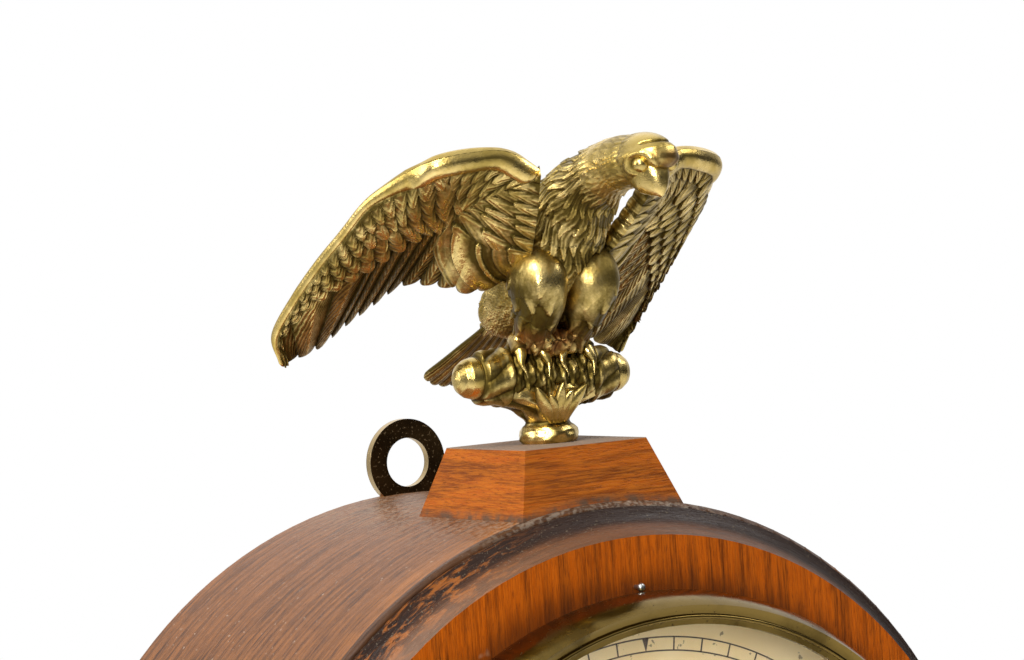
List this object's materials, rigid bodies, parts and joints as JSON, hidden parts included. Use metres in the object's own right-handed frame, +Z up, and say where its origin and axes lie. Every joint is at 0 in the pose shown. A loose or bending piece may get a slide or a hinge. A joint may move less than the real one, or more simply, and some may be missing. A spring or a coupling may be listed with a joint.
{
  "type": "banjo clock",
  "caption": "Wall-hung banjo clock with a round glazed head, eagle finial, tapering throat, hinged lower door and a spring-driven pendulum movement.",
  "frame": {"origin": "on the dial's axis, in the plane of the wall", "axes": "+X to the right seen from the front, +Y back into the wall, +Z up"},
  "size_m": [0.2387, 0.1133, 0.6882],
  "materials": {
    "case_wood": "old varnished mahogany",
    "plain_wood": "plain unpolished pine",
    "veneer": "varnished veneer",
    "cast_brass": "aged cast",
    "spun_brass": "aged spun",
    "movement_brass": "satin",
    "steel": "satin",
    "hanger_iron": "tarnished",
    "blued_steel": "blued",
    "dial_paint": "aged cream paint",
    "clear_glass": "clear",
    "painted_glass": "painted on the back"
  },
  "bodies": {
    "case": {"case_back": "plain_wood", "head_case": "case_wood", "cove_moulding": "case_wood", "front_board": "plain_wood", "face_veneer": "veneer", "bezel_keeper_pin": "steel", "finial_plinth": "case_wood", "finial_stud": "steel", "eagle_finial": "cast_brass", "hanger_plate": "hanger_iron", "hanger_screws": "steel", "throat_sides": "case_wood", "throat_frame": "case_wood", "throat_tablet": "painted_glass", "side_arms": "cast_brass", "box_sides": "case_wood", "box_top": "case_wood", "box_bottom": "case_wood", "door_hinge_leaves": "spun_brass", "door_hinge_pins": "steel", "dial": "dial_paint", "bezel_hinge_leaf": "spun_brass", "bezel_hinge_pin": "steel", "movement_front_plate": "movement_brass", "movement_back_plate": "movement_brass", "movement_pillars": "movement_brass", "click_spring": "steel", "suspension_cock": "movement_brass"},
    "bezel": {"bezel": "spun_brass", "bezel_glass": "clear_glass", "glass_retainer": "spun_brass", "bezel_hinge_arm": "spun_brass"},
    "door": {"door_frame": "case_wood", "door_tablet": "painted_glass", "door_knob": "cast_brass", "door_hinge_arms": "spun_brass"},
    "minute_work": {"minute_hand": "blued_steel", "hand_nut": "movement_brass", "cannon_pinion": "movement_brass"},
    "minute_wheel": {"minute_wheel": "movement_brass"},
    "hour_work": {"hour_hand": "blued_steel", "hour_wheel": "movement_brass"},
    "escape": {"escape_wheel": "movement_brass", "escape_arbor": "steel"},
    "third": {"third_wheel": "movement_brass", "third_arbor": "steel"},
    "centre": {"centre_wheel": "movement_brass", "centre_arbor": "steel"},
    "going_barrel": {"barrel": "movement_brass", "barrel_cap": "movement_brass", "mainspring": "steel"},
    "winding": {"winding_arbor": "steel", "ratchet_wheel": "steel"},
    "click": {"click": "steel"},
    "pendulum": {"suspension_spring": "steel", "pendulum_rod": "steel", "pendulum_bob": "movement_brass"},
    "crutch": {"pallets": "steel", "pallet_arbor": "steel"},
    "rating_nut": {"rating_nut": "movement_brass"}
  },
  "joints": [
    {"name": "bezel_hinge", "type": "hinge", "parent": "case", "child": "bezel", "pos_m": [0.0839, -0.0926, 0], "axis": [0, 0, 1], "range_deg": [0, 110]},
    {"name": "door_hinge", "type": "hinge", "parent": "case", "child": "door", "pos_m": [0.118, -0.0782, -0.4225], "axis": [0, 0, 1], "range_deg": [0, 110]},
    {"name": "minute_turn", "type": "hinge", "parent": "case", "child": "minute_work", "pos_m": [0, -0.06, 0], "axis": [0, 1, 0], "continuous": true},
    {"name": "minute_wheel_turn", "type": "hinge", "parent": "case", "child": "minute_wheel", "pos_m": [0.00919, -0.06, -0.00771], "axis": [0, 1, 0], "continuous": true},
    {"name": "hour_turn", "type": "hinge", "parent": "case", "child": "hour_work", "pos_m": [0, -0.06, 0], "axis": [0, 1, 0], "continuous": true},
    {"name": "escape_turn", "type": "hinge", "parent": "case", "child": "escape", "pos_m": [0, -0.06, 0.02644], "axis": [0, 1, 0], "continuous": true},
    {"name": "third_turn", "type": "hinge", "parent": "case", "child": "third", "pos_m": [-0.01273, -0.06, 0.01517], "axis": [0, 1, 0], "continuous": true},
    {"name": "centre_turn", "type": "hinge", "parent": "case", "child": "centre", "pos_m": [0, -0.06, 0], "axis": [0, 1, 0], "continuous": true},
    {"name": "barrel_turn", "type": "hinge", "parent": "case", "child": "going_barrel", "pos_m": [0, -0.06, -0.0282], "axis": [0, 1, 0], "continuous": true},
    {"name": "winding_turn", "type": "hinge", "parent": "case", "child": "winding", "pos_m": [0, -0.06, -0.0282], "axis": [0, 1, 0], "continuous": true},
    {"name": "click_pivot", "type": "hinge", "parent": "case", "child": "click", "pos_m": [-0.01065, -0.073, -0.03566], "axis": [0, -1, 0], "range_deg": [0, 6], "stiffness_Nm_per_rad": 0.005, "springref_deg": -17.19},
    {"name": "pendulum_swing", "type": "hinge", "parent": "case", "child": "pendulum", "pos_m": [0, -0.02, 0.04398], "axis": [0, 1, 0], "range_deg": [-2.5, 2.5]},
    {"name": "crutch_swing", "type": "hinge", "parent": "case", "child": "crutch", "pos_m": [0, -0.05, 0.04398], "axis": [0, 1, 0], "range_deg": [-2.6, 2.6]},
    {"name": "rating_nut_turn", "type": "hinge", "parent": "pendulum", "child": "rating_nut", "pos_m": [0, -0.02, -0.452], "axis": [0, 0, 1], "continuous": true}
  ],
  "couplings": [
    {"joint": "minute_wheel_turn", "follows": "minute_turn", "ratio": -0.33333},
    {"joint": "hour_turn", "follows": "minute_turn", "ratio": 0.083333},
    {"joint": "third_turn", "follows": "escape_turn", "ratio": -0.13333},
    {"joint": "centre_turn", "follows": "escape_turn", "ratio": 0.016667},
    {"joint": "barrel_turn", "follows": "escape_turn", "ratio": -0.0019841},
    {"joint": "crutch_swing", "follows": "pendulum_swing", "ratio": 1}
  ]
}
